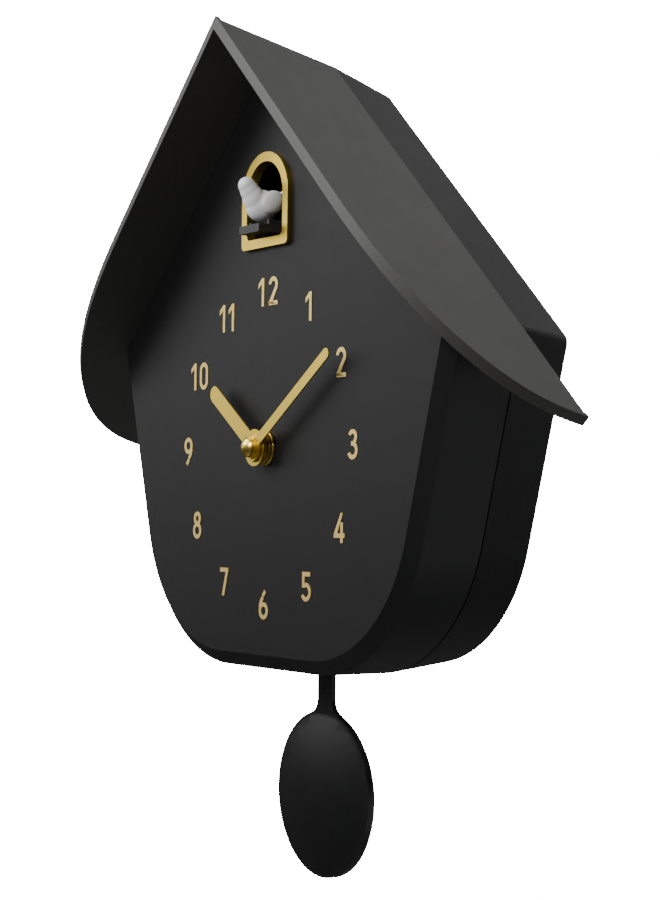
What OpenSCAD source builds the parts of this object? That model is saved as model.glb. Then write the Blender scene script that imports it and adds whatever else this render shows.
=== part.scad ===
// House-shaped pendulum wall clock with a sliding bird.
// Millimetres. X right, Y towards the wall (wall plane at Y = 0), Z up, origin at the hanging hole.

/* [Roof] */

// Slope of each roof half in degrees
roof_slope = 42.9; // [42.5:0.1:43.5]

// Thickness of the roof plate
roof_thickness = 2.8; // [2.4:0.1:3.2]

// Height of the raised lip on the roof's front edge
lip_height = 0.6; // [0.4:0.1:0.8]

// Width of the raised lip
lip_width = 1.6; // [1.2:0.1:2]

/* [Case] */

// Half width of the dial plate where it meets the roof
face_half_width = 93.4; // [92.5:0.1:94.5]

// Taper of the case sides in degrees
side_taper = 16.1; // [15.8:0.1:16.5]

// Thickness of the dial plate
face_thickness = 2.8; // [2.4:0.1:3]

// Thickness of the case walls
wall = 2.4; // [2:0.1:2.6]

// Depth of the bevel round the dial plate
bevel_depth = 3.2; // [3:0.1:3.6]

// Outward reach of the bevel
bevel_out = 4.3; // [4:0.1:4.6]

/* [Dial] */

// Radius of the ring of numerals
numeral_ring = 48.4; // [47.5:0.1:49]

// Stroke width of the numerals
numeral_stroke = 1.3; // [1:0.1:1.5]

// Length of the minute hand from the centre
minute_length = 50.4; // [46:0.1:52]

// Length of the hour hand from the centre
hour_length = 33.2; // [30:0.1:36]

/* [Pendulum] */

// Radius of the pendulum bob
bob_radius = 25.9; // [24:0.1:27]

// Width of the pendulum rod
rod_width = 8; // [6:0.1:9]

/* [Hidden] */

y_rim = -65;
y_face = -45;
y_bevel = y_face + bevel_depth;
y_seam = -21;
z_rim = 33.7;
z_face_bottom = -161.9;
corner_radius = 50.5;
ridge_drop = 9.7;
rear_draft = 5.15;
bottom_draft = 2.5;
slab_length = 169.9;
straight_length = 85.2;
dial_z = -98;
minute_angle = 57.1;
hour_angle = 304.8;
pivot_z = -82;
bob_z = -205.7;
pend_y = -21.5;
arch_half = 13.5;
arch_bottom = -36;
arch_top = -6.3;
arch_bar = 2.4;
pinion_y = -24;
pinion_z = -39.6;
motor_z = -51.6;
arc_steps = 24;

ct = cos(roof_slope);
st = sin(roof_slope);
tn = tan(roof_slope);
cs = cos(side_taper);
sn = sin(side_taper);
drop_rate = ridge_drop / (y_seam - y_rim);
z_ridge = z_rim - lip_height;
z_seam = z_ridge - ridge_drop;
z_wall = z_seam - rear_draft / ct;
shoulder_z = z_rim - roof_thickness / ct - drop_rate * (y_face - y_rim) - face_half_width * tn;
side_d = face_half_width * cs - shoulder_z * sn;
corner_z = z_face_bottom + corner_radius;
corner_x = (side_d - corner_radius + corner_z * sn) / cs;
lean = drop_rate * st;
skew = sqrt(1 + drop_rate * drop_rate - lean * lean);
tilt = asin(drop_rate * ct / skew);

// ---------- shared shapes ----------

// A flat shape drawn in X and Z, standing between two Y planes.
module upright(y0, y1) {
  translate([0, y1, 0])
    rotate([90, 0, 0])
      linear_extrude(height = y1 - y0)
        children();
}

// A round bar along Y between two Y planes.
module bar_y(x, z, y0, y1, r, fn = 48) {
  translate([x, y1, z])
    rotate([90, 0, 0])
      cylinder(h = y1 - y0, r = r, $fn = fn);
}

// A round bar along X.
module bar_x(x0, x1, y, z, r, fn = 48) {
  translate([x0, y, z])
    rotate([0, 90, 0])
      cylinder(h = x1 - x0, r = r, $fn = fn);
}

// A box between two corners.
module box(a, b) {
  translate(a)
    cube(b - a);
}

function arc(cx, cy, r, a0, a1, n) = [for (i = [0:n]) [cx + r * cos(a0 + (a1 - a0) * i / n),
                                                     cy + r * sin(a0 + (a1 - a0) * i / n)]];

function mirrored(p) = [for (i = [len(p) - 1:-1:0]) [-p[i][0], p[i][1]]];

// Outline of the house: round bottom corners, tapered sides, filleted shoulders, pointed ridge.
function house_half(off, za, rs, sink = 0) =
  let (k1 = side_d + off - rs,
       k2 = za * ct - rs,
       det = cs * ct + sn * st,
       fx = (k1 * ct + k2 * sn) / det,
       fz = (k2 * cs - k1 * st) / det)
  concat(arc(corner_x - sink * sn / cs, corner_z - sink, corner_radius + off, -90, -side_taper,
             arc_steps),
         arc(fx, fz, rs, -side_taper, 90 - roof_slope, 6),
         [[0, za]]);

function house_points(off, za, rs, sink = 0) =
  let (half = house_half(off, za, rs, sink))
  concat(half, [for (q = mirrored(half)) if (q[0] < -0.001) q]);

module house(off, za, rs) {
  polygon(house_points(off, za, rs));
}

// A closed solid through outlines with the same number of points, each at its own Y.
module loft(ys, outlines) {
  n = len(outlines[0]);
  m = len(ys);
  points = [for (j = [0:m - 1]) for (q = outlines[j]) [q[0], ys[j], q[1]]];
  walls = [for (j = [0:m - 2]) for (i = [0:n - 1])
    [n * j + i, n * j + (i + 1) % n, n * j + n + (i + 1) % n, n * j + n + i]];
  polyhedron(points = points,
             faces = concat([[for (i = [n - 1:-1:0]) i]], walls, [[for (i = [0:n - 1]) n * m - n + i]]),
             convexity = 4);
}

// Frame of a roof half: X runs down the slope and Z stands square to the plate.
module slope_frame(side) {
  mirror([side < 0 ? 1 : 0, 0, 0])
    translate([0, y_rim, z_ridge])
      rotate([-tilt, roof_slope, 0])
        children();
}

function plan(s, y) = [s + lean * (y - y_rim), skew * (y - y_rim)];

// Front edge of a roof half: straight near the ridge, then a full curve to the tip.
function eave(inset) =
  let (ax = slab_length - straight_length - inset,
       ay = y_seam - y_rim - inset,
       e = 2 / 2.53)
  [for (i = [0:40]) let (a = 90 - 90 * i / 40)
    plan(straight_length + ax * pow(max(cos(a), 0), e), y_seam - ay * pow(max(sin(a), 0), e))];

module slab_plan(inset) {
  polygon(concat([plan(-40, y_rim + inset)], eave(inset), [plan(-40, y_seam)]));
}

module half_space(side) {
  box([side > 0 ? 0 : -260, -200, -260], [side > 0 ? 260 : 0, 100, 160]);
}

// Everything above the underside of the roof.
module above_roof(below) {
  for (side = [-1, 1])
    slope_frame(side)
      translate([-120, -20, -below])
        cube([400, 160, 120]);
}

// Tooth form: half angle of an involute tooth at radius r.
function inv(a) = tan(a) * 180 / PI - a;
function half_tooth(m, z, r) =
  let (rp = m * z / 2, rb = rp * cos(20))
  0.4 * 180 / z + inv(20) - (r > rb ? inv(acos(rb / r)) : 0);

function tooth(m, z, k) =
  let (rp = m * z / 2,
       ra = rp + 0.8 * m,
       rf = rp - 1.05 * m,
       rs = [rf, rp * 0.945, rp, rp + 0.4 * m, ra],
       c = 360 * k / z)
  concat([for (r = rs) [r * cos(c - half_tooth(m, z, r)), r * sin(c - half_tooth(m, z, r))]],
         [for (i = [4:-1:0]) [rs[i] * cos(c + half_tooth(m, z, rs[i])),
                             rs[i] * sin(c + half_tooth(m, z, rs[i]))]]);

module gear_plan(m, z, turn) {
  rotate(turn)
    polygon([for (k = [0:z - 1]) each tooth(m, z, k)]);
}

// ---------- case ----------

module roof() {
  color([0.2, 0.2, 0.19])
    for (side = [-1, 1])
      intersection() {
        half_space(side);
        slope_frame(side)
          union() {
            translate([0, 0, -roof_thickness])
              linear_extrude(height = roof_thickness)
                slab_plan(0);
            translate([0, 0, -0.2])
              linear_extrude(height = lip_height * ct + 0.2)
                difference() {
                  slab_plan(0);
                  translate([0, 0.001, 0])
                    slab_plan(lip_width);
                }
          }
      }
}

module arch_plan(inset) {
  r = arch_half - inset;
  c = 1.6;
  polygon(concat(arc(r - c, arch_bottom + inset + c, c, -90, 0, 5),
                 arc(0, arch_top - arch_half, r, 0, 180, 32),
                 arc(-r + c, arch_bottom + inset + c, c, 180, 270, 5)));
}

module slot_plan(y0, y1, half) {
  translate([-half, y0, z_face_bottom - 30])
    cube([2 * half, y1 - y0, 40]);
}

module front_housing() {
  color([0.12, 0.12, 0.12])
    difference() {
      loft([y_face, y_bevel, y_seam - 0.45, y_seam - 0.4, y_seam],
           [house_points(0, 60, 2), house_points(bevel_out, 60, 2), house_points(bevel_out, 60, 2),
            house_points(bevel_out - 0.7, 60, 2), house_points(bevel_out - 0.7, 60, 2)]);
      difference() {
        upright(y_face + face_thickness, y_seam + 1)
          house(bevel_out - wall, 62, 2);
        for (side = [-1, 1]) {
          bar_y(side * 75, -80, y_face, y_seam - 0.1, 3.5);
          bar_y(side * 40, -140, y_face, y_seam - 0.1, 3.5);
        }
      }
      above_roof(roof_thickness);
      upright(y_face - 1, y_face + face_thickness + 1)
        arch_plan(arch_bar - 0.6);
      bar_y(0, dial_z, y_face - 1, y_face + face_thickness + 1, 4.1);
      for (side = [-1, 1]) {
        bar_y(side * 75, -80, y_seam - 14, y_seam + 1, 1.3, 24);
        bar_y(side * 40, -140, y_seam - 14, y_seam + 1, 1.3, 24);
      }
      slot_plan(-25, -18, 13.8);
    }
}

module rear_housing() {
  color([0.13, 0.13, 0.13])
    difference() {
      union() {
        difference() {
          loft([y_seam, 0], [house_points(bevel_out, z_seam, 2),
                             house_points(bevel_out - rear_draft, z_wall, 3, rear_draft - bottom_draft)]);
          loft([y_seam - 1, -wall], [house_points(bevel_out - wall + 0.2, z_seam - wall / ct + 0.2, 1),
                                     house_points(bevel_out - rear_draft - wall, z_wall - wall / ct, 1,
                                                  rear_draft - bottom_draft)]);
        }
        for (side = [-1, 1]) {
          bar_y(side * 75, -80, y_seam + 0.1, -wall + 0.5, 3.6);
          bar_y(side * 40, -140, y_seam + 0.1, -wall + 0.5, 3.6);
        }
      }
      for (side = [-1, 1]) {
        bar_y(side * 75, -80, y_seam - 1, 1, 1.7, 24);
        bar_y(side * 40, -140, y_seam - 1, 1, 1.7, 24);
        bar_y(side * 75, -80, -5, 1, 2.9, 32);
        bar_y(side * 40, -140, -5, 1, 2.9, 32);
        bar_y(side * 22, -146, -1, 1, 5, 40);
      }
      bar_y(0, 0, -10, 5, 4.5, 64);
      box([-2.2, -10, 0], [2.2, 5, 7]);
      bar_y(0, 7, -10, 5, 2.2, 32);
      slot_plan(-25, -16, 13.8);
      box([28.6, -10, -124], [60.4, 5, -68]);
      for (a = [0:45:315])
        bar_y(-46 + 9 * cos(a), -96 + 9 * sin(a), -10, 5, 1.5, 20);
      bar_y(-46, -96, -10, 5, 1.5, 20);
      box([-51, -10, -133.5], [-41, 5, -130.5]);
    }
}

module arch_trim() {
  color([0.8, 0.68, 0.36])
    difference() {
      upright(y_face - 1.6, y_face + 2)
        arch_plan(arch_bar - 0.5);
      upright(y_face - 3, y_face + 3)
        arch_plan(arch_bar + 0.6);
    }
  color([0.8, 0.68, 0.36])
    difference() {
      upright(y_face - 1.6, y_face)
        arch_plan(0);
      upright(y_face - 3, y_face + 3)
        arch_plan(arch_bar);
    }
}

module case_screws() {
  color([0.5, 0.5, 0.52])
    for (p = [[75, -80], [-75, -80], [40, -140], [-40, -140]])
      union() {
        bar_y(p[0], p[1], y_seam - 10, -5, 1.25, 24);
        difference() {
          bar_y(p[0], p[1], -5, -3.4, 2.7, 32);
          box([p[0] - 2, -4, p[1] - 0.3], [p[0] + 2, 0, p[1] + 0.3]);
          box([p[0] - 0.3, -4, p[1] - 2], [p[0] + 0.3, 0, p[1] + 2]);
        }
      }
}

module wall_pads() {
  color([0.15, 0.15, 0.15])
    for (side = [-1, 1])
      bar_y(side * 22, -146, -1, 0, 4.9, 40);
}

// ---------- dial ----------

module stroke(x0, z0, x1, z1) {
  dx = x1 - x0;
  dz = z1 - z0;
  len = sqrt(dx * dx + dz * dz);
  translate([x0, z0])
    rotate(atan2(dz, dx))
      translate([0, -numeral_stroke / 2])
        square([len, numeral_stroke]);
}

module bow(cx, cz, r, a0, a1) {
  polygon(concat(arc(cx, cz, r, a0, a1, 18), arc(cx, cz, r - numeral_stroke, a1, a0, 18)));
}

module ring_plan(cz, r) {
  difference() {
    translate([0, cz])
      circle(r = r, $fn = 40);
    translate([0, cz])
      circle(r = r - numeral_stroke, $fn = 40);
  }
}

module six() {
  ring_plan(-1.75, 2.65);
  bow(2.2, -1.0, 4.85, 127, 176);
  stroke(-0.4, 2.75, 0.9, 4.35);
}

module digit(d) {
  s = numeral_stroke;
  h = 4.4;
  if (d == 0) {
    bow(0, 1.8, 2.6, 0, 180);
    bow(0, -1.8, 2.6, 180, 360);
    translate([-2.6, -1.85])
      square([s, 3.7]);
    translate([2.6 - s, -1.85])
      square([s, 3.7]);
  }
  if (d == 1) {
    translate([0.1, -h])
      square([s, 2 * h]);
    polygon([[0.2, h], [-1.9, h - 1.75], [-1.9, h - 3.25], [0.2, h - 1.55]]);
  }
  if (d == 2) {
    bow(0, 1.8, 2.6, -28, 172);
    polygon([[1.05, 1.25], [2.35, 0.7], [-0.9, -h + 0.4], [-2.5, -h + 0.9]]);
    translate([-2.5, -h])
      square([5.1, s]);
  }
  if (d == 3) {
    bow(0, 2.1, 2.3, -75, 158);
    bow(0, -1.75, 2.65, -160, 78);
    translate([-0.7, -0.4])
      square([1.4, s]);
  }
  if (d == 4) {
    polygon([[-2.8, -1.7], [-2.8, -2.9], [-1.2, -1.9], [1.6, h - 0.6], [1.6, h], [0.7, h]]);
    translate([-2.8, -2.9])
      square([5.6, s]);
    translate([0.6, -h])
      square([s, 6]);
  }
  if (d == 5) {
    translate([-2, h - s])
      square([4.3, s]);
    translate([-2.1, -0.3])
      square([s, h + 0.3]);
    bow(0, -1.6, 2.8, -155, 128);
  }
  if (d == 6)
    six();
  if (d == 7) {
    translate([-2.5, h - s])
      square([5.1, s]);
    polygon([[1.2, h - 0.6], [2.6, h - 0.6], [0.2, -h], [-1.25, -h]]);
  }
  if (d == 8) {
    ring_plan(2.15, 2.25);
    ring_plan(-1.75, 2.65);
  }
  if (d == 9)
    rotate(180)
      six();
}

module numerals() {
  color([0.84, 0.75, 0.55])
    upright(y_face - 0.2, y_face)
      for (k = [1:12])
        translate([numeral_ring * sin(30 * k), dial_z + numeral_ring * cos(30 * k)])
          if (k < 10)
            digit(k);
          else {
            translate([k == 11 ? -2.8 : -3.2, 0])
              digit(1);
            translate([k == 11 ? 2.8 : k == 12 ? 3.6 : 3.1, 0])
              digit(k - 10);
          }
}

module shaft_nut() {
  color([0.8, 0.66, 0.32])
    difference() {
      union() {
        bar_y(0, dial_z, y_face - 0.7, y_face, 5.6, 64);
        bar_y(0, dial_z, y_face - 1.9, y_face - 0.7, 5.2, 64);
      }
      bar_y(0, dial_z, y_face - 5, y_face + 1, 4.05, 48);
    }
}

module hand_plan(w, len) {
  translate([-w / 2, 0])
    square([w, len - w / 2]);
  translate([0, len - w / 2])
    circle(d = w, $fn = 40);
}

module hour_hand() {
  color([0.82, 0.7, 0.38])
    difference() {
      union() {
        translate([0, 0, dial_z])
          rotate([0, hour_angle, 0])
            upright(-49.0, -48.5)
              hand_plan(5.2, hour_length);
        bar_y(0, dial_z, -49.2, -48.5, 5.7, 64);
        bar_y(0, dial_z, -48.5, -47.9, 3.6, 48);
      }
      bar_y(0, dial_z, -60, -40, 2.52, 48);
    }
}

module minute_hand() {
  color([0.82, 0.7, 0.38])
    difference() {
      union() {
        translate([0, 0, dial_z])
          rotate([0, minute_angle, 0])
            upright(-50.1, -49.6)
              hand_plan(3.2, minute_length);
        bar_y(0, dial_z, -50.3, -49.5, 4.4, 56);
        bar_y(0, dial_z, -50.9, -50.2, 3.6, 48);
      }
      bar_y(0, dial_z, -60, -40, 1.77, 40);
    }
}

module cap_nut() {
  color([0.84, 0.72, 0.4])
    difference() {
      union() {
        bar_y(0, dial_z, -51.9, -50.9, 3.1, 48);
        translate([0, -51.85, dial_z])
          rotate([90, 0, 0])
            rotate_extrude($fn = 64)
              polygon(concat([[0, 0]], arc(0, -2.4, 3.92, 37.76, 90, 10)));
      }
      bar_y(0, dial_z, -52.2, -50, 1.77, 40);
    }
}

module minute_arbor() {
  color([0.78, 0.66, 0.36])
    difference() {
      union() {
        bar_y(0, dial_z, -52, -35.5, 1.75, 40);
        translate([0, 0, dial_z])
          upright(-38.6, -36.6)
            gear_plan(0.5, 12, -30);
      }
      bar_y(0, dial_z, -38, -35, 0.85, 24);
    }
}

module hour_wheel() {
  color([0.85, 0.83, 0.78])
    difference() {
      union() {
        bar_y(0, dial_z, -49.3, -39.6, 2.5, 48);
        translate([0, 0, dial_z])
          upright(-40.4, -39.4)
            gear_plan(0.48, 40, -30 + 4.5);
      }
      bar_y(0, dial_z, -60, -30, 1.83, 40);
    }
}

transfer_x = 12 * cos(30);
transfer_z = dial_z - 6;
knob_x = 24 * cos(30);
knob_z = dial_z - 12;

module transfer_wheel() {
  color([0.85, 0.83, 0.78])
    difference() {
      translate([transfer_x, 0, transfer_z])
        union() {
          upright(-38.1, -37.1)
            gear_plan(0.5, 36, 150 + 5);
          upright(-40.4, -38.05)
            gear_plan(0.48, 10, 150);
        }
      bar_y(transfer_x, transfer_z, -45, -30, 0.85, 24);
    }
}

module setting_knob() {
  color([0.2, 0.2, 0.2])
    union() {
      translate([knob_x, 0, knob_z])
        upright(-38.6, -36.6)
          gear_plan(0.5, 12, 150);
      bar_y(knob_x, knob_z, -36.7, -26, 1.5, 32);
      difference() {
        bar_y(knob_x, knob_z, -26.3, -24, 5, 48);
        for (a = [0:30:330])
          bar_y(knob_x + 5.2 * cos(a), knob_z + 5.2 * sin(a), -27, -23, 0.5, 12);
      }
    }
}

// ---------- movement ----------

module movement_front() {
  color([0.1, 0.1, 0.1])
    difference() {
      union() {
        difference() {
          box([-28, -42.2, -128], [28, -34.6, -66]);
          box([-26.7, -40.9, -126.7], [26.7, -34, -67.3]);
        }
        bar_y(0, dial_z, -47.6, -41, 4, 48);
      }
      bar_y(0, dial_z, -50, -38, 2.58, 48);
    }
}

module movement_back() {
  color([0.12, 0.12, 0.12])
    difference() {
      union() {
        difference() {
          box([-28, -34.5, -128], [28, -27, -66]);
          box([-26.7, -36, -126.7], [26.7, -28.3, -67.3]);
        }
        bar_y(0, dial_z, -37.6, -28, 0.8, 24);
        bar_y(0, dial_z, -34.5, -28, 2.4, 32);
        bar_y(transfer_x, transfer_z, -40.2, -28, 0.8, 24);
        bar_y(transfer_x, transfer_z, -36.2, -28, 2.4, 32);
        bar_y(0, pivot_z, -27.5, -19.6, 1.2, 32);
        bar_y(0, pivot_z, -27.5, -23.2, 2.6, 32);
      }
      bar_y(knob_x, knob_z, -30, -25, 1.56, 32);
    }
}

module coil() {
  color([0.72, 0.4, 0.2])
    union() {
      bar_x(-23, -7, -34, -118, 3.2, 40);
      bar_x(-24, -23, -34, -118, 4.2, 40);
      bar_x(-7, -6, -34, -118, 4.2, 40);
    }
}

module circuit_board() {
  color([0.1, 0.35, 0.2])
    union() {
      box([-25, -31, -110], [-8, -30, -74]);
      box([-21, -32.2, -98], [-13, -31, -90]);
      bar_y(-16, -82, -33.5, -31, 2, 24);
    }
}

module drive_coil() {
  color([0.72, 0.4, 0.2])
    difference() {
      bar_y(0, -120, -27, -24, 6, 48);
      bar_y(0, -120, -28, -22, 2, 24);
    }
}

// ---------- pendulum ----------

module pendulum_hanger() {
  color([0.85, 0.85, 0.83])
    difference() {
      union() {
        box([-2.6, -22.3, -124], [2.6, -20.7, pivot_z]);
        bar_y(0, pivot_z, -22.9, -20.3, 3.6, 40);
        bar_y(0, -120, -22.3, -20.7, 4.3, 40);
        box([-1.6, -20.8, -124], [1.6, -19.3, -120]);
        box([-1.6, -20.5, -126.4], [1.6, -19.3, -123.9]);
        box([-1.6, -22.8, -126.4], [1.6, -19.3, -125.45]);
      }
      bar_y(0, pivot_z, -30, -10, 1.25, 32);
    }
}

module hanger_magnet() {
  color([0.45, 0.45, 0.47])
    bar_y(0, -120, -23.5, -22.3, 3.5, 32);
}

module rod_plan() {
  half = rod_width / 2;
  top = bob_z + bob_radius;
  join = top - 1.2;
  difference() {
    translate([-half, bob_z])
      square([2 * half, -124.6 - bob_z]);
    translate([-2, -127])
      square([4, 1.6]);
  }
  difference() {
    polygon([[-half - 4, join], [half + 4, join], [half, top + 3.8], [-half, top + 3.8]]);
    for (side = [-1, 1])
      translate([side * (half + 4.8), top + 3.8])
        circle(r = 4.8, $fn = 48);
  }
}

module pendulum_rod() {
  color([0.11, 0.11, 0.11])
    union() {
      upright(pend_y - 0.8, pend_y + 0.8)
        rod_plan();
      bar_y(0, bob_z, pend_y - 0.8, pend_y + 0.8, bob_radius, 96);
    }
}

module bob_front() {
  color([0.1, 0.1, 0.1])
    difference() {
      union() {
        bar_y(0, bob_z, pend_y - 1.4, pend_y - 0.8, bob_radius, 96);
        intersection() {
          translate([0, pend_y - 4.4 + 105.7, bob_z])
            sphere(r = 105.7, $fn = 180);
          bar_y(0, bob_z, pend_y - 8, pend_y - 1.35, bob_radius, 96);
        }
      }
      bar_y(0, bob_z, pend_y - 1.8, pend_y, bob_radius - 6.4, 96);
    }
}

module bob_back() {
  color([0.1, 0.1, 0.1])
    bar_y(0, bob_z, pend_y + 0.8, pend_y + 1.6, bob_radius - 1, 96);
}

module bob_weight() {
  color([0.5, 0.5, 0.52])
    bar_y(0, bob_z, pend_y - 1.7, pend_y - 0.85, 18, 64);
}

// ---------- bird ----------

module bird() {
  color([0.9, 0.9, 0.9])
    union() {
      translate([0, -47.6, -23])
        scale(5.7)
          sphere(r = 1, $fn = 48);
      translate([0, -49.6, -20.6])
        sphere(r = 4.6, $fn = 40);
      translate([0, -52.6, -17.8])
        sphere(r = 3.1, $fn = 40);
      translate([0, -44.2, -20.8])
        rotate([24, 0, 0])
          translate([-1.6, 0, -0.9])
            cube([3.2, 7.6, 1.8]);
      bar_z(0, -46.6, -29.5, -25, 1.2);
    }
}

module bar_z(x, y, z0, z1, r) {
  translate([x, y, z0])
    cylinder(h = z1 - z0, r = r, $fn = 32);
}

module bird_carriage() {
  p = PI * 0.8;
  color([0.22, 0.22, 0.22])
    union() {
      box([-5.85, -52, -32], [5.85, -22, -29.5]);
      box([4.6, -48.4, -29.6], [5.85, -22, -28]);
      box([-5.85, -48.4, -29.6], [-4.6, -22, -28]);
      box([-2.4, -41.3, -33.95], [2.4, -22, -31.9]);
      for (k = [-7:0])
        translate([0, pinion_y + (k - 0.5) * p + p, 0])
          mirror([0, 0, 1])
            translate([-2.4, 0, -pinion_z - 4.8 - 0.85])
              rotate([90, 0, 90])
                linear_extrude(height = 4.8)
                  polygon([[-0.81, -0.05], [0.81, -0.05], [0.5, 0.85], [0.27, 1.49],
                           [-0.27, 1.49], [-0.5, 0.85]]);
    }
}

module cuckoo_bracket() {
  color([0.8, 0.8, 0.78])
    difference() {
      union() {
        for (side = [-1, 1]) {
          box([side * 7.05 - 0.75, -42.2, -59], [side * 7.05 + 0.75, -5, -26.5]);
          box([side * 5.6 - 0.9, -41, -33.8], [side * 5.6 + 0.9, -5, -32.3]);
          box([side * 5.9 - 0.6, -41, -27.7], [side * 5.9 + 0.6, -5, -26.5]);
          box([side * 11 - 4, -42.2, -59], [side * 11 + 4, -41, -51]);
        }
        box([-7.8, -42.2, -60], [7.8, -5, -58.4]);
      }
      bar_x(-10, 10, pinion_y, pinion_z, 1.56, 32);
      bar_x(0, 20, pinion_y, motor_z, 2, 32);
      box([-10, -16, -57], [10, -8, -36]);
      for (side = [-1, 1])
        bar_y(side * 12, -55, -45, -38, 1, 20);
    }
}

module rack_pinion() {
  color([0.85, 0.83, 0.78])
    translate([0, pinion_y, pinion_z])
      union() {
        translate([-2.4, 0, 0])
          rotate([90, 0, 90])
            linear_extrude(height = 4.8)
              gear_plan(0.8, 12, 90);
        translate([8.4, 0, 0])
          rotate([90, 0, 90])
            linear_extrude(height = 2)
              gear_plan(0.5, 36, -90);
        bar_x(-8.4, 8.6, 0, 0, 1.5, 32);
      }
}

module cuckoo_motor() {
  color([0.7, 0.7, 0.72])
    difference() {
      union() {
        bar_x(-6, 5.8, pinion_y, motor_z, 5.8, 48);
        bar_x(5.7, 6.3, pinion_y, motor_z, 1.9, 32);
      }
      bar_x(-5, 8, pinion_y, motor_z, 0.8, 24);
    }
}

module motor_pinion() {
  color([0.8, 0.7, 0.4])
    translate([0, pinion_y, motor_z])
      union() {
        bar_x(-4, 8.6, 0, 0, 0.75, 24);
        translate([8.4, 0, 0])
          rotate([90, 0, 90])
            linear_extrude(height = 2)
              gear_plan(0.5, 12, 75);
      }
}

// ---------- power, sound and switch ----------

module battery_tray() {
  color([0.14, 0.14, 0.14])
    difference() {
      box([27.2, -20.5, -125.4], [61.8, -2.5, -66.6]);
      box([28.6, -19.2, -124], [60.4, 0, -68]);
      box([29.5, -19.2, -126], [33, -17.5, -120]);
    }
}

module batteries() {
  color([0.25, 0.25, 0.3])
    for (p = [[36.9, 1], [52.1, -1]])
      union() {
        bar_z(p[0], -11.3, -119.4, -72.4, 7.1);
        bar_z(p[0], -11.3, p[1] > 0 ? -72.5 : -121.0, p[1] > 0 ? -70.8 : -119.3, 2.7);
      }
}

module battery_springs() {
  color([0.75, 0.75, 0.77])
    union() {
      for (x = [36.9, 52.1]) {
        box([x - 6, -17, -124], [x + 6, -6, -123.5]);
        box([x - 6, -17, -68.5], [x + 6, -6, -68]);
      }
      bar_z(36.9, -11.3, -123.6, -119.45, 2.4);
      bar_z(52.1, -11.3, -72.35, -68.4, 2.4);
      bar_z(36.9, -11.3, -70.75, -68.4, 2);
      bar_z(52.1, -11.3, -123.6, -121.05, 2);
    }
}

module battery_door() {
  color([0.13, 0.13, 0.13])
    union() {
      box([29, -2.2, -123.6], [60, -0.4, -68.4]);
      box([40, -3.2, -122.8], [49, -2.1, -121.6]);
      for (k = [0:3])
        box([38, -0.5, -120 + 1.6 * k], [51, -0.1, -119.2 + 1.6 * k]);
    }
}

module speaker() {
  color([0.55, 0.55, 0.56])
    difference() {
      union() {
        bar_y(-46, -96, -5.4, -2.5, 18, 64);
        bar_y(-46, -96, -9.6, -5.3, 9, 48);
      }
      bar_y(-46, -96, -5, -2, 16, 64);
    }
}

module speaker_cone() {
  color([0.1, 0.1, 0.1])
    union() {
      bar_y(-46, -96, -4.4, -3.8, 15.7, 64);
      bar_y(-46, -96, -3.85, -3.2, 5, 40);
      bar_y(-46, -96, -5, -4.3, 6, 40);
    }
}

module switch_body() {
  color([0.6, 0.6, 0.6])
    difference() {
      box([-54, -8, -135.5], [-38, -2.5, -128.5]);
      box([-51, -5.5, -133.5], [-41, -2, -130.5]);
    }
}

module switch_slider() {
  color([0.85, 0.85, 0.85])
    box([-48, -5.2, -133.2], [-44, -0.4, -130.8]);
}

// A lead through a list of points: one swept tube with eight sides.
function unit(v) = v / norm(v);
function run(p, i) = unit(p[min(i + 1, len(p) - 1)] - p[max(i - 1, 0)]);
function side_a(t) = unit(cross(t, [0.31, 0.22, 0.93]));

module wire(p) {
  n = len(p);
  points = [for (i = [0:n - 1]) let (t = run(p, i), a = side_a(t), b = cross(t, a))
    for (k = [0:7]) p[i] + 0.5 * (a * cos(45 * k) + b * sin(45 * k))];
  walls = [for (i = [0:n - 2]) for (k = [0:7])
    each [[8 * i + k, 8 * i + 8 + k, 8 * i + 8 + (k + 1) % 8],
          [8 * i + k, 8 * i + 8 + (k + 1) % 8, 8 * i + (k + 1) % 8]]];
  polyhedron(points = points,
             faces = concat([[for (k = [0:7]) k]], walls, [[for (k = [7:-1:0]) 8 * n - 8 + k]]),
             convexity = 6);
}

module wires() {
  color([0.6, 0.1, 0.1])
    union() {
      wire([[31.2, -18.3, -124.5], [31.2, -18.3, -128.8], [29.5, -30.5, -128.8], [25, -30.5, -128.8]]);
      wire([[33, -19.9, -65.9], [24, -19.9, -60], [12, -24, -62], [3, -24, -61]]);
      wire([[-34, -6, -86], [-30, -16, -70], [-12, -24, -62], [-3, -24, -61]]);
      wire([[-52, -8.6, -132], [-56, -12, -118], [-38, -24, -116], [-28.8, -30, -112]]);
    }
}

roof();
front_housing();
rear_housing();
arch_trim();
numerals();
case_screws();
wall_pads();
shaft_nut();
movement_front();
movement_back();
hour_hand();
minute_hand();
cap_nut();
minute_arbor();
hour_wheel();
transfer_wheel();
setting_knob();
coil();
circuit_board();
drive_coil();
pendulum_hanger();
hanger_magnet();
pendulum_rod();
bob_front();
bob_back();
bob_weight();
bird();
bird_carriage();
cuckoo_bracket();
rack_pinion();
cuckoo_motor();
motor_pinion();
battery_tray();
batteries();
battery_springs();
battery_door();
speaker();
speaker_cone();
switch_body();
switch_slider();
wires();
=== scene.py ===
import math
import bmesh
import bpy
from mathutils import Matrix, Vector


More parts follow.
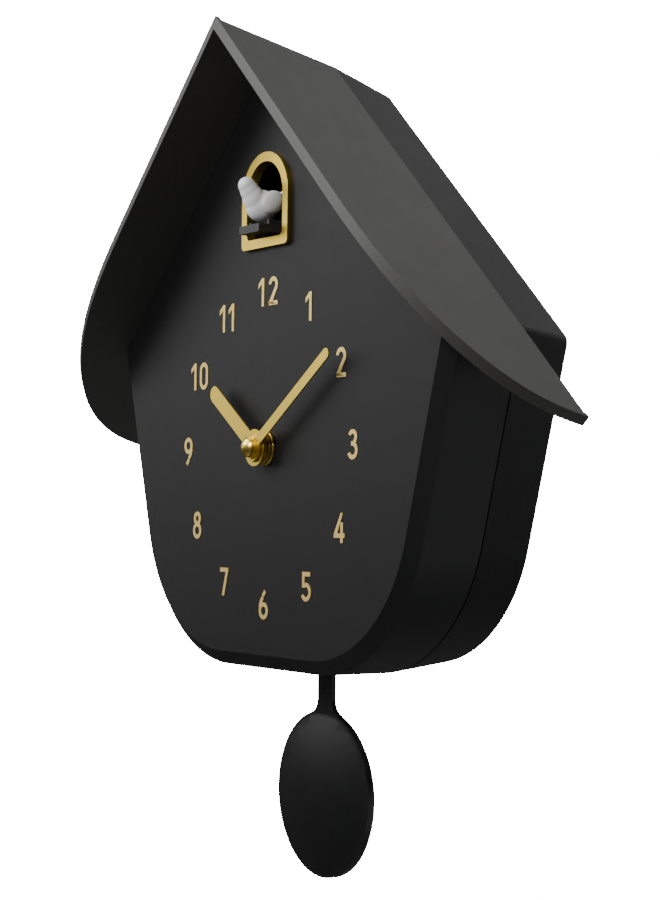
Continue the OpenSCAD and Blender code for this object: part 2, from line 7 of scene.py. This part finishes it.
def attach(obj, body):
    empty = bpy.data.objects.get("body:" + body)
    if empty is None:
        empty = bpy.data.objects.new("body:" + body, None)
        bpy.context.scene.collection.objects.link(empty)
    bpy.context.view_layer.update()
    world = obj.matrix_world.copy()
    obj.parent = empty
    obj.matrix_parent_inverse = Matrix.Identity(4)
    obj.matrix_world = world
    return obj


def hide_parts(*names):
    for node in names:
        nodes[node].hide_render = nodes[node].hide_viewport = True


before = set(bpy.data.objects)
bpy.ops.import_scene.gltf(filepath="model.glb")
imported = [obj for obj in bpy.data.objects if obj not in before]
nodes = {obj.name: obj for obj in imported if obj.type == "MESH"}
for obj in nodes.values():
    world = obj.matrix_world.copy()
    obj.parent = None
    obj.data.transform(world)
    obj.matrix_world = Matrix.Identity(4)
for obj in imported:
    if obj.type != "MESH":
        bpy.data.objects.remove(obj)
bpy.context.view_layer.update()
MM = 0.001

# Millimetres and degrees that a finish or a piece shares with the clock's design.
DIAL_Z = -98
MINUTE_ANGLE, HOUR_ANGLE = 57.1, 304.8
BUSHING_RADIUS, BUSHING_FOOT = 4.2, -42.4
BAND_FROM = -83.5


# ---------- finishes ----------

class Value:
    """A shader socket that takes part in Python arithmetic."""

    def __init__(self, finish, socket):
        self.finish, self.socket = finish, socket

    def op(self, operation, *values):
        return self.finish.add("ShaderNodeMath", {"operation": operation}, dict(enumerate(values)))[0]

    def __add__(self, other):
        return self.op("ADD", self, other)

    def __sub__(self, other):
        return self.op("SUBTRACT", self, other)

    def __rsub__(self, other):
        return self.op("SUBTRACT", other, self)

    def __mul__(self, other):
        return self.op("MULTIPLY", self, other)

    __radd__ = __add__
    __rmul__ = __mul__

    def clipped(self, low=0.0, high=1.0):
        return self.op("MINIMUM", self.op("MAXIMUM", self, low), high)


class Finish:
    """One procedural finish: a Principled shader and the nodes that vary it."""

    def __init__(self, name, **constants):
        self.material = bpy.data.materials.new(name)
        self.material.use_nodes = True
        self.tree = self.material.node_tree
        self.shader = self.tree.nodes["Principled BSDF"]
        for key, value in constants.items():
            self.shader.inputs[key.replace("_", " ")].default_value = value
        self.place = self.add("ShaderNodeTexCoord")["Object"]

    def put(self, socket, value):
        if isinstance(value, Value):
            self.tree.links.new(value.socket, socket)
        else:
            socket.default_value = value

    def add(self, kind, settings=None, inputs=None):
        node = self.tree.nodes.new(kind)
        for key, value in (settings or {}).items():
            setattr(node, key, value)
        for key, value in (inputs or {}).items():
            self.put(node.inputs[key], value)
        outs = {s.name: Value(self, s) for s in node.outputs}
        outs.update({i: Value(self, s) for i, s in enumerate(node.outputs)})
        return outs

    def noise(self, scale, detail=3.0, rough=0.5, place=None):
        return self.add("ShaderNodeTexNoise", None, {
            "Vector": place or self.place, "Scale": scale, "Detail": detail, "Roughness": rough})[0]

    def stretched(self, scale, turn=(0, 0, 0)):
        """Object coordinates turned and then stretched, for a brushed grain."""
        return self.add("ShaderNodeMapping", None, {
            "Vector": self.place, "Rotation": turn, "Scale": scale})[0]

    def mixed(self, factor, a, b):
        return self.add("ShaderNodeMix", {"data_type": "RGBA"}, {0: factor, 6: (*a, 1), 7: (*b, 1)})[2]

    def bump(self, height, strength, distance):
        return self.add("ShaderNodeBump", None, {
            "Height": height, "Strength": strength, "Distance": distance})[0]

    def feed(self, **links):
        for key, value in links.items():
            self.put(self.shader.inputs[key.replace("_", " ")], value)
        return self.material


def moulded(name, dark, light, rough, grain=0.02, spark=2600, gloss=0.5):
    """Fine spark-textured moulding: cloudy tone, handled patches and a pebbled surface."""
    f = Finish(name, Specular_IOR_Level=gloss)
    cloud = f.noise(22, 4, 0.55)
    patch = f.noise(70, 5, 0.6)
    pebble = f.noise(spark, 2, 0.5)
    speck = f.noise(spark * 0.37, 1, 0.5)
    tone = (cloud * 0.6 + patch * 0.25 + pebble * 0.15).clipped()
    colour = f.mixed(tone, dark, light)
    roughness = (rough - 0.06) + patch * 0.08 + pebble * 0.05
    normal = f.bump(pebble * 0.7 + speck * 0.3, 0.5, grain * MM)
    return f.feed(Base_Color=colour, Roughness=roughness, Normal=normal)


def brushed(name, dark, light, rough, stretch, turn=(0, 0, 0), depth=0.006):
    """Satin metal with a fine grain drawn along one direction."""
    f = Finish(name, Metallic=1.0)
    along = f.noise(1.0, 3, 0.6, f.stretched(stretch, turn))
    cloud = f.noise(160, 3, 0.5)
    pits = f.noise(5200, 2, 0.5)
    colour = f.mixed((along * 0.55 + cloud * 0.3 + pits * 0.15).clipped(), dark, light)
    roughness = (rough - 0.07) + along * 0.1 + cloud * 0.06
    normal = f.bump(along * 0.8 + pits * 0.2, 0.35, depth * MM)
    return f.feed(Base_Color=colour, Roughness=roughness, Normal=normal)


def polished(name, dark, light, rough):
    """Turned and polished metal with faint handling marks."""
    f = Finish(name, Metallic=1.0)
    cloud = f.noise(260, 4, 0.6)
    marks = f.noise(1900, 2, 0.5)
    return f.feed(Base_Color=f.mixed(cloud, dark, light), Roughness=(rough - 0.04) + marks * 0.08,
                  Normal=f.bump(marks, 0.15, 0.004 * MM))


def foil(name, dark, light):
    """Champagne foil pressed onto a raised numeral."""
    f = Finish(name)
    grain = f.noise(1500, 3, 0.6)
    cloud = f.noise(120, 3, 0.5)
    return f.feed(Base_Color=f.mixed((grain * 0.6 + cloud * 0.4).clipped(), dark, light),
                  Metallic=0.7 + cloud * 0.2, Roughness=0.38 + grain * 0.14,
                  Normal=f.bump(grain, 0.3, 0.008 * MM))


def wound(name, dark, light):
    """Enamelled wire wound in even turns."""
    f = Finish(name)
    turns = f.add("ShaderNodeTexWave", {"bands_direction": "X"},
                  {"Vector": f.place, "Scale": 900.0, "Distortion": 0.4})[1]
    return f.feed(Base_Color=f.mixed(turns, dark, light), Metallic=0.75 + turns * 0.1,
                  Roughness=0.3 + turns * 0.1, Normal=f.bump(turns, 0.6, 0.03 * MM))


def board(name):
    """Solder resist with tracks showing as slightly raised lines."""
    f = Finish(name, Specular_IOR_Level=0.5)
    cells = f.add("ShaderNodeTexVoronoi", {"feature": "DISTANCE_TO_EDGE"},
                  {"Vector": f.place, "Scale": 420.0})[0]
    track = (1 - (cells * 6).clipped()) * 0.8
    return f.feed(Base_Color=f.mixed(track, (0.015, 0.12, 0.05), (0.05, 0.3, 0.12)),
                  Roughness=0.3 + track * 0.15, Normal=f.bump(track, 0.4, 0.03 * MM))


def wrap(name):
    """Plain cell wrap: a dark body with a pale band towards one pole."""
    f = Finish(name, Specular_IOR_Level=0.5)
    z = f.add("ShaderNodeSeparateXYZ", None, {0: f.place})[2]
    band = ((z - BAND_FROM * MM) * 4000).clipped()
    grain = f.noise(600, 2, 0.5)
    return f.feed(Base_Color=f.mixed(band, (0.012, 0.014, 0.02), (0.5, 0.42, 0.25)),
                  Roughness=0.25 + grain * 0.12, Metallic=0.3 + band * 0.3,
                  Normal=f.bump(grain, 0.1, 0.01 * MM))


GOLD_DARK, GOLD_LIGHT = (0.58, 0.42, 0.05), (0.74, 0.55, 0.09)
HAND_GRAIN = (1100, 1100, 60)

BLACK = moulded("case_black", (0.0055, 0.0055, 0.0058), (0.0095, 0.0095, 0.0098), 0.46, gloss=0.18)
# Painted shade: the pendulum is moulded in the same black as the case, and this darker copy of that
# black stands in for the shade on the bob.
SHADED_BOB = moulded("bob_black_painted_shade", (0.0035, 0.0035, 0.0037), (0.006, 0.006, 0.0062), 0.38, 0.012, gloss=0.22)
ROOF = moulded("roof_dark", (0.020, 0.0195, 0.018), (0.031, 0.030, 0.0275), 0.5, gloss=0.42)
INNER = moulded("inner_black", (0.008, 0.008, 0.009), (0.014, 0.014, 0.015), 0.55, 0.03)
PERCH = moulded("perch_grey", (0.016, 0.016, 0.016), (0.024, 0.024, 0.0235), 0.45, gloss=0.3)
WHITE = moulded("bird_white", (0.66, 0.66, 0.68), (0.74, 0.74, 0.76), 0.42, 0.012, 1800)
GEAR = moulded("gear_white", (0.6, 0.59, 0.54), (0.7, 0.69, 0.64), 0.4, 0.01, 1500)
RUBBER = moulded("rubber_black", (0.012, 0.012, 0.012), (0.02, 0.02, 0.02), 0.75, 0.05, 1200)
CONE = moulded("cone_black", (0.012, 0.012, 0.012), (0.024, 0.023, 0.022), 0.8, 0.08, 900)
LEAD = moulded("wire_red", (0.3, 0.015, 0.012), (0.4, 0.03, 0.02), 0.4, 0.02, 1500)
TRIM = brushed("trim_gold", (0.6, 0.43, 0.05), (0.76, 0.56, 0.09), 0.3, (900, 900, 60))
MINUTE = brushed("minute_gold", GOLD_DARK, GOLD_LIGHT, 0.34, HAND_GRAIN,
                 (0, math.radians(-MINUTE_ANGLE), 0), 0.01)
HOUR = brushed("hour_gold", GOLD_DARK, GOLD_LIGHT, 0.34, HAND_GRAIN,
               (0, math.radians(-HOUR_ANGLE), 0), 0.01)
NUT = polished("bright_gold", (0.66, 0.46, 0.08), (0.8, 0.58, 0.14), 0.3)
STEEL = brushed("steel", (0.42, 0.42, 0.43), (0.6, 0.6, 0.61), 0.34, (300, 2400, 300))
BASKET = brushed("speaker_grey", (0.25, 0.25, 0.26), (0.36, 0.36, 0.37), 0.42, (500, 500, 500))
MAGNET = polished("magnet", (0.4, 0.4, 0.42), (0.5, 0.5, 0.52), 0.25)
FOIL = foil("gold_print", (0.64, 0.47, 0.15), (0.78, 0.59, 0.22))
COPPER = wound("copper", (0.45, 0.16, 0.06), (0.75, 0.34, 0.16))
BOARD = board("board_green")
CELL = wrap("cell_wrap")

FINISH = {
    "roof": ROOF, "front_housing": BLACK, "rear_housing": BLACK, "battery_door": BLACK,
    # The pendulum rod and bob take the case's black darkened as painted shade.
    "pendulum_rod": SHADED_BOB, "bob_front": SHADED_BOB, "bob_back": SHADED_BOB,
    "arch_trim": TRIM, "numerals": FOIL, "hour_hand": HOUR, "minute_hand": MINUTE,
    "shaft_nut": NUT, "cap_nut": NUT, "minute_arbor": NUT, "motor_pinion": NUT,
    "movement_front": INNER, "movement_back": INNER, "setting_knob": INNER, "cuckoo_bracket": INNER,
    "battery_tray": INNER, "bird": WHITE, "bird_carriage": PERCH,
    "hour_wheel": GEAR, "transfer_wheel": GEAR, "pendulum_hanger": GEAR, "rack_pinion": GEAR,
    "switch_slider": GEAR, "coil": COPPER, "drive_coil": COPPER, "circuit_board": BOARD,
    "case_screws": STEEL, "bob_weight": STEEL, "cuckoo_motor": STEEL, "battery_springs": STEEL,
    "switch_body": STEEL, "hanger_magnet": MAGNET, "batteries": CELL, "speaker": BASKET,
    "speaker_cone": CONE, "wall_pads": RUBBER, "wires": LEAD,
}


# ---------- edges of the CAD pieces ----------

SMOOTH_UNDER = math.radians(25)
ROUNDED_OVER = math.radians(35)
WELD = 0.002


def smoothing_group():
    """Joins loose triangles and shades smooth, except across edges sharper than SMOOTH_UNDER."""
    group = bpy.data.node_groups.new("smooth_by_angle", "GeometryNodeTree")
    group.interface.new_socket("Geometry", in_out="INPUT", socket_type="NodeSocketGeometry")
    group.interface.new_socket("Geometry", in_out="OUTPUT", socket_type="NodeSocketGeometry")
    new = group.nodes.new
    start, end = new("NodeGroupInput"), new("NodeGroupOutput")
    merge = new("GeometryNodeMergeByDistance")
    merge.inputs["Distance"].default_value = WELD * MM
    faces, edges = new("GeometryNodeSetShadeSmooth"), new("GeometryNodeSetShadeSmooth")
    faces.domain, edges.domain = "FACE", "EDGE"
    angle, sharp = new("GeometryNodeInputMeshEdgeAngle"), new("FunctionNodeCompare")
    sharp.operation = "LESS_EQUAL"
    sharp.inputs[1].default_value = SMOOTH_UNDER
    link = group.links.new
    link(start.outputs[0], merge.inputs["Geometry"])
    link(merge.outputs[0], faces.inputs["Geometry"])
    link(faces.outputs[0], edges.inputs["Geometry"])
    link(angle.outputs["Unsigned Angle"], sharp.inputs[0])
    link(sharp.outputs[0], edges.inputs["Shade Smooth"])
    link(edges.outputs[0], end.inputs[0])
    return group


SMOOTHING = smoothing_group()

# Width of the rounding on each piece's edges, in millimetres; the bird and the leads are round already.
EDGE_OF_OTHERS = 0.12
EDGE = {
    "roof": 0.35, "front_housing": 0.4, "rear_housing": 0.5, "battery_door": 0.3, "arch_trim": 0.5,
    "numerals": 0.06, "shaft_nut": 0.2, "hour_hand": 0.12, "minute_hand": 0.12, "cap_nut": 0.15,
    "pendulum_rod": 0.3, "bob_front": 0.5, "bob_back": 0.5, "bird_carriage": 0.2, "case_screws": 0.1,
    "movement_front": 0.4, "movement_back": 0.4, "setting_knob": 0.15, "wires": 0, "bird": 0,
}


def finished(piece, width):
    """Smooth shading, and rounded edges of that width in millimetres."""
    piece.modifiers.new("smooth", "NODES").node_group = SMOOTHING
    if width:
        bevel = piece.modifiers.new("edges", "BEVEL")
        bevel.width = width * MM
        bevel.segments = 2
        bevel.limit_method = "ANGLE"
        bevel.angle_limit = ROUNDED_OVER
        bevel.use_clamp_overlap = True
        bevel.harden_normals = True


for name, piece in nodes.items():
    piece.data.materials.clear()
    piece.data.materials.append(FINISH[name])
    finished(piece, EDGE.get(name, EDGE_OF_OTHERS))

def brass_bushing(mesh):
    """Turned brass for the bushing that stands out through the dial; the case round it is moulded."""
    mesh.materials.append(NUT)
    for face in mesh.polygons:
        from_shaft = math.hypot(face.center.x, face.center.z - DIAL_Z * MM)
        if face.center.y < BUSHING_FOOT * MM and from_shaft < BUSHING_RADIUS * MM:
            face.material_index = 1


brass_bushing(nodes["movement_front"].data)


# ---------- new pieces ----------

def object_from(name, mesh_bm, finish, body):
    """A smooth-shaded piece from a bmesh, riding on that body."""
    mesh = bpy.data.meshes.new(name)
    mesh_bm.to_mesh(mesh)
    mesh_bm.free()
    mesh.materials.append(finish)
    for polygon in mesh.polygons:
        polygon.use_smooth = True
    piece = bpy.data.objects.new(name, mesh)
    bpy.context.scene.collection.objects.link(piece)
    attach(piece, body)
    return piece


def lump(bm, at, size, turn=0.0):
    """An egg of that centre and half sizes, tipped about X."""
    place = Matrix.Translation(Vector(at) * MM) @ Matrix.Rotation(math.radians(turn), 4, "X")
    place = place @ Matrix.Diagonal((*[s * MM for s in size], 1))
    bmesh.ops.create_icosphere(bm, subdivisions=4, radius=1.0, matrix=place)


def dove():
    """The bird: its parts, each a centre, half sizes and tip, run together into one smooth body."""
    bm = bmesh.new()
    lump(bm, (0, -47.5, -23.3), (4.5, 5.2, 5.1), 12)  # belly
    lump(bm, (0, -50.3, -21.4), (3.7, 3.5, 4.9), 24)  # breast
    lump(bm, (0, -51.9, -19.0), (3.1, 3.0, 3.6), 16)  # neck
    lump(bm, (0, -53.0, -17.4), (2.7, 2.7, 2.7))  # head
    lump(bm, (0, -44.6, -22.2), (3.4, 4.0, 3.2), 25)  # back
    lump(bm, (0, -40.6, -19.4), (2.2, 4.4, 0.95), 36)  # tail
    for side in (1, -1):
        lump(bm, (side * 3.5, -45.8, -22.4), (1.9, 4.5, 3.6), 28)  # wing
    piece = object_from("dove", bm, WHITE, "bird")
    remesh = piece.modifiers.new("skin", "REMESH")
    remesh.mode = "VOXEL"
    remesh.voxel_size = 0.28 * MM
    remesh.use_smooth_shade = True
    soften = piece.modifiers.new("soften", "SMOOTH")
    soften.factor, soften.iterations = 0.6, 9
    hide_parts("bird")


dove()


# ---------- camera ----------

CAMERA_AT = (0.540989, -0.374636, -0.118995)
YAW, PITCH, ROLL = (math.radians(a) for a in (56.85, 1.862, 0.637))
SENSOR = 36
FOCAL = 2053.29 / 900 * SENSOR


def add_camera():
    """A camera turned left by YAW, up by PITCH and then about its own line of sight by ROLL."""
    camera = bpy.data.objects.new("camera", bpy.data.cameras.new("camera"))
    bpy.context.scene.collection.objects.link(camera)
    bpy.context.scene.camera = camera
    across, along, rise = -math.sin(YAW), math.cos(YAW), math.sin(PITCH)
    forward = Vector((across * math.cos(PITCH), along * math.cos(PITCH), rise))
    level = Vector((along, -across, 0))
    up = level.cross(forward)
    right = level * math.cos(ROLL) + up * math.sin(ROLL)
    top = up * math.cos(ROLL) - level * math.sin(ROLL)
    turn = Matrix((right, top, -forward)).transposed().to_4x4()
    camera.matrix_world = Matrix.Translation(CAMERA_AT) @ turn
    camera.data.lens = FOCAL
    camera.data.sensor_width = SENSOR
    camera.data.clip_start, camera.data.clip_end = 0.01, 60


add_camera()


# ---------- light and floor ----------

# Middle of the clock, and each soft box's place, size in metres and power in watts.
MIDDLE = (0, -0.03, -0.1)
SOFTBOXES = {
    "key_light": ((-0.65, -1.05, 0.75), (0.9, 0.9), 20),
    "left_light": ((-1.1, -0.76, 0.42), (0.9, 1.1), 5.4),
    "front_fill": ((0.55, -1.25, 0.6), (0.5, 0.5), 20),
    "top_light": ((-0.05, 0.6, 0.95), (0.9, 0.9), 3.4),
    "back_fill": ((-0.3, 1.4, 0.1), (1.0, 1.0), 6),
    "right_edge": ((0.93, 0.62, -0.6), (0.6, 1.0), 2.8),
}
AMBIENT, BACKDROP = 0.07, 40.0
FLOOR_Z, FLOOR_HALF = -2.5, 3.0


def softbox(name, at, size, power):
    """A rectangular light aimed at the middle of the clock."""
    data = bpy.data.lights.new(name, "AREA")
    data.shape, data.size, data.size_y = "RECTANGLE", size[0], size[1]
    data.energy = power
    lamp = bpy.data.objects.new(name, data)
    bpy.context.scene.collection.objects.link(lamp)
    lamp.location = at
    lamp.rotation_euler = (Vector(MIDDLE) - Vector(at)).to_track_quat("-Z", "Y").to_euler()


def studio_air():
    """Faint white light from all round, in front of a bright white backdrop."""
    world = bpy.data.worlds.new("studio")
    bpy.context.scene.world = world
    world.use_nodes = True
    tree = world.node_tree
    ambient, backdrop = tree.nodes["Background"], tree.nodes.new("ShaderNodeBackground")
    for shade, strength in ((ambient, AMBIENT), (backdrop, BACKDROP)):
        shade.inputs[0].default_value = (1, 1, 1, 1)
        shade.inputs[1].default_value = strength
    seen, blend = tree.nodes.new("ShaderNodeLightPath"), tree.nodes.new("ShaderNodeMixShader")
    tree.links.new(seen.outputs["Is Camera Ray"], blend.inputs[0])
    tree.links.new(ambient.outputs[0], blend.inputs[1])
    tree.links.new(backdrop.outputs[0], blend.inputs[2])
    tree.links.new(blend.outputs[0], tree.nodes["World Output"].inputs[0])


def pale_floor():
    """A plain pale floor well below the clock."""
    bm = bmesh.new()
    bmesh.ops.create_grid(bm, x_segments=2, y_segments=2, size=FLOOR_HALF,
                          matrix=Matrix.Translation((0, 0, FLOOR_Z)))
    mesh = bpy.data.meshes.new("floor")
    bm.to_mesh(mesh)
    bm.free()
    floor = bpy.data.objects.new("floor", mesh)
    bpy.context.scene.collection.objects.link(floor)
    pale = Finish("floor_pale", Roughness=0.9)
    colour = pale.mixed(pale.noise(3, 2), (0.93, 0.93, 0.93), (0.96, 0.96, 0.96))
    mesh.materials.append(pale.feed(Base_Color=colour))


for name, (at, size, power) in SOFTBOXES.items():
    softbox(name, at, size, power)
studio_air()
pale_floor()
